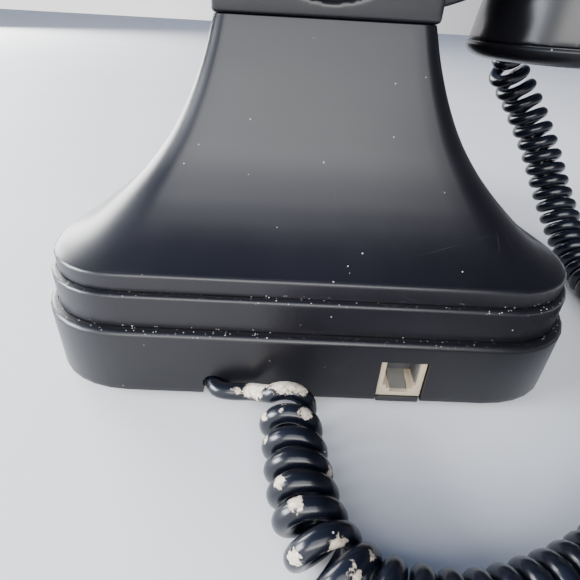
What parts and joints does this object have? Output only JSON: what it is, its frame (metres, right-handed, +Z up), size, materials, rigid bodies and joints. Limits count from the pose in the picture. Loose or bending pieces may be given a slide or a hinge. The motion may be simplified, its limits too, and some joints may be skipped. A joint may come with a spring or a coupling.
{
  "type": "desk telephone",
  "caption": "Desk telephone with a stepped, flared base, cradle, button dial, line socket and a handset on a curly cord.",
  "frame": {"origin": "on the table, below the middle of the base", "axes": "+Z up; the dial faces -Y and the line socket faces +Y; the handset lies along X with its mouthpiece towards -X"},
  "size_m": [0.2428, 0.2454, 0.14],
  "materials": {
    "black_plastic": "satin moulded, finely scratched",
    "base_plastic": "matt moulded",
    "dial_face": "gloss",
    "rubber": "matt",
    "cord": "gloss, worn in patches",
    "jack_plastic": "satin",
    "contact_metal": "gold plated",
    "chrome": "polished",
    "card": "matt",
    "lens": "clear",
    "circuit_board": "satin",
    "steel": "plain",
    "grey_plastic": "matt",
    "slider_plastic": "matt",
    "key_plastic": "satin"
  },
  "bodies": {
    "root": {"housing": "black_plastic", "base_plate": "base_plastic", "rubber_feet": "rubber", "housing_screws": "steel", "cradle": "black_plastic", "cradle_screws": "steel", "line_jack": "jack_plastic", "jack_contacts": "contact_metal", "dial_bezel": "chrome", "dial_plate": "dial_face", "dial_screws": "steel", "keypad_mat": "rubber", "keypad_board": "circuit_board", "dial_card": "card", "card_lens": "lens", "card_ring": "chrome", "main_board": "circuit_board", "board_screws": "steel", "ringer_speaker": "grey_plastic", "front_ballast": "steel", "rear_ballast": "steel", "hook_bracket": "steel", "hook_pin": "steel", "hook_spring": "steel", "hook_switch": "grey_plastic", "tone_switch": "grey_plastic", "ringer_switch": "grey_plastic", "cord_bush": "rubber", "cord_clamp": "base_plastic", "cord_lead": "cord", "cord_coil": "cord", "cord_tail": "cord"},
    "handset": {"handset_shell": "black_plastic", "ear_cap": "black_plastic", "receiver": "grey_plastic", "mouth_cap": "black_plastic", "microphone": "grey_plastic", "handset_weight": "steel", "handset_boot": "rubber", "handset_screws": "steel"},
    "hook_lever": {"hook_lever": "grey_plastic"},
    "plunger_left": {"plunger_left": "black_plastic"},
    "plunger_right": {"plunger_right": "black_plastic"},
    "tone_slider": {"tone_slider": "slider_plastic"},
    "ringer_slider": {"ringer_slider": "slider_plastic"},
    "key_1": {"key_1": "key_plastic"},
    "key_2": {"key_2": "key_plastic"},
    "key_3": {"key_3": "key_plastic"},
    "key_4": {"key_4": "key_plastic"},
    "key_5": {"key_5": "key_plastic"},
    "key_6": {"key_6": "key_plastic"},
    "key_7": {"key_7": "key_plastic"},
    "key_8": {"key_8": "key_plastic"},
    "key_9": {"key_9": "key_plastic"},
    "key_star": {"key_star": "key_plastic"},
    "key_0": {"key_0": "key_plastic"},
    "key_hash": {"key_hash": "key_plastic"}
  },
  "joints": [
    {"name": "handset_lift", "type": "slide", "parent": "root", "child": "handset", "axis": [0, 0, 1], "range_m": [0, 0.06]},
    {"name": "plunger_left_rise", "type": "slide", "parent": "root", "child": "plunger_left", "axis": [0, 0, 1], "range_m": [0, 0.006]},
    {"name": "plunger_right_rise", "type": "slide", "parent": "root", "child": "plunger_right", "axis": [0, 0, 1], "range_m": [0, 0.006]},
    {"name": "hook_lever_swing", "type": "hinge", "parent": "root", "child": "hook_lever", "pos_m": [0, 0.036, 0.0848], "axis": [1, 0, 0], "range_deg": [-13.2, 0]},
    {"name": "tone_slide", "type": "slide", "parent": "root", "child": "tone_slider", "axis": [0, 1, 0], "range_m": [0, 0.0044]},
    {"name": "ringer_slide", "type": "slide", "parent": "root", "child": "ringer_slider", "axis": [0, 1, 0], "range_m": [0, 0.0044]},
    {"name": "key_1_press", "type": "slide", "parent": "root", "child": "key_1", "axis": [0, 0.6416, -0.767], "range_m": [0, 0.0015], "stiffness_N_per_m": 250, "springref_m": -0.001},
    {"name": "key_2_press", "type": "slide", "parent": "root", "child": "key_2", "axis": [0, 0.6416, -0.767], "range_m": [0, 0.0015], "stiffness_N_per_m": 250, "springref_m": -0.001},
    {"name": "key_3_press", "type": "slide", "parent": "root", "child": "key_3", "axis": [0, 0.6416, -0.767], "range_m": [0, 0.0015], "stiffness_N_per_m": 250, "springref_m": -0.001},
    {"name": "key_4_press", "type": "slide", "parent": "root", "child": "key_4", "axis": [0, 0.6416, -0.767], "range_m": [0, 0.0015], "stiffness_N_per_m": 250, "springref_m": -0.001},
    {"name": "key_5_press", "type": "slide", "parent": "root", "child": "key_5", "axis": [0, 0.6416, -0.767], "range_m": [0, 0.0015], "stiffness_N_per_m": 250, "springref_m": -0.001},
    {"name": "key_6_press", "type": "slide", "parent": "root", "child": "key_6", "axis": [0, 0.6416, -0.767], "range_m": [0, 0.0015], "stiffness_N_per_m": 250, "springref_m": -0.001},
    {"name": "key_7_press", "type": "slide", "parent": "root", "child": "key_7", "axis": [0, 0.6416, -0.767], "range_m": [0, 0.0015], "stiffness_N_per_m": 250, "springref_m": -0.001},
    {"name": "key_8_press", "type": "slide", "parent": "root", "child": "key_8", "axis": [0, 0.6416, -0.767], "range_m": [0, 0.0015], "stiffness_N_per_m": 250, "springref_m": -0.001},
    {"name": "key_9_press", "type": "slide", "parent": "root", "child": "key_9", "axis": [0, 0.6416, -0.767], "range_m": [0, 0.0015], "stiffness_N_per_m": 250, "springref_m": -0.001},
    {"name": "key_star_press", "type": "slide", "parent": "root", "child": "key_star", "axis": [0, 0.6416, -0.767], "range_m": [0, 0.0015], "stiffness_N_per_m": 250, "springref_m": -0.001},
    {"name": "key_0_press", "type": "slide", "parent": "root", "child": "key_0", "axis": [0, 0.6416, -0.767], "range_m": [0, 0.0015], "stiffness_N_per_m": 250, "springref_m": -0.001},
    {"name": "key_hash_press", "type": "slide", "parent": "root", "child": "key_hash", "axis": [0, 0.6416, -0.767], "range_m": [0, 0.0015], "stiffness_N_per_m": 250, "springref_m": -0.001}
  ],
  "couplings": [
    {"joint": "plunger_left_rise", "follows": "handset_lift", "ratio": 0.1},
    {"joint": "plunger_right_rise", "follows": "handset_lift", "ratio": 0.1},
    {"joint": "hook_lever_swing", "follows": "handset_lift", "rad_per_m": -3.8}
  ]
}
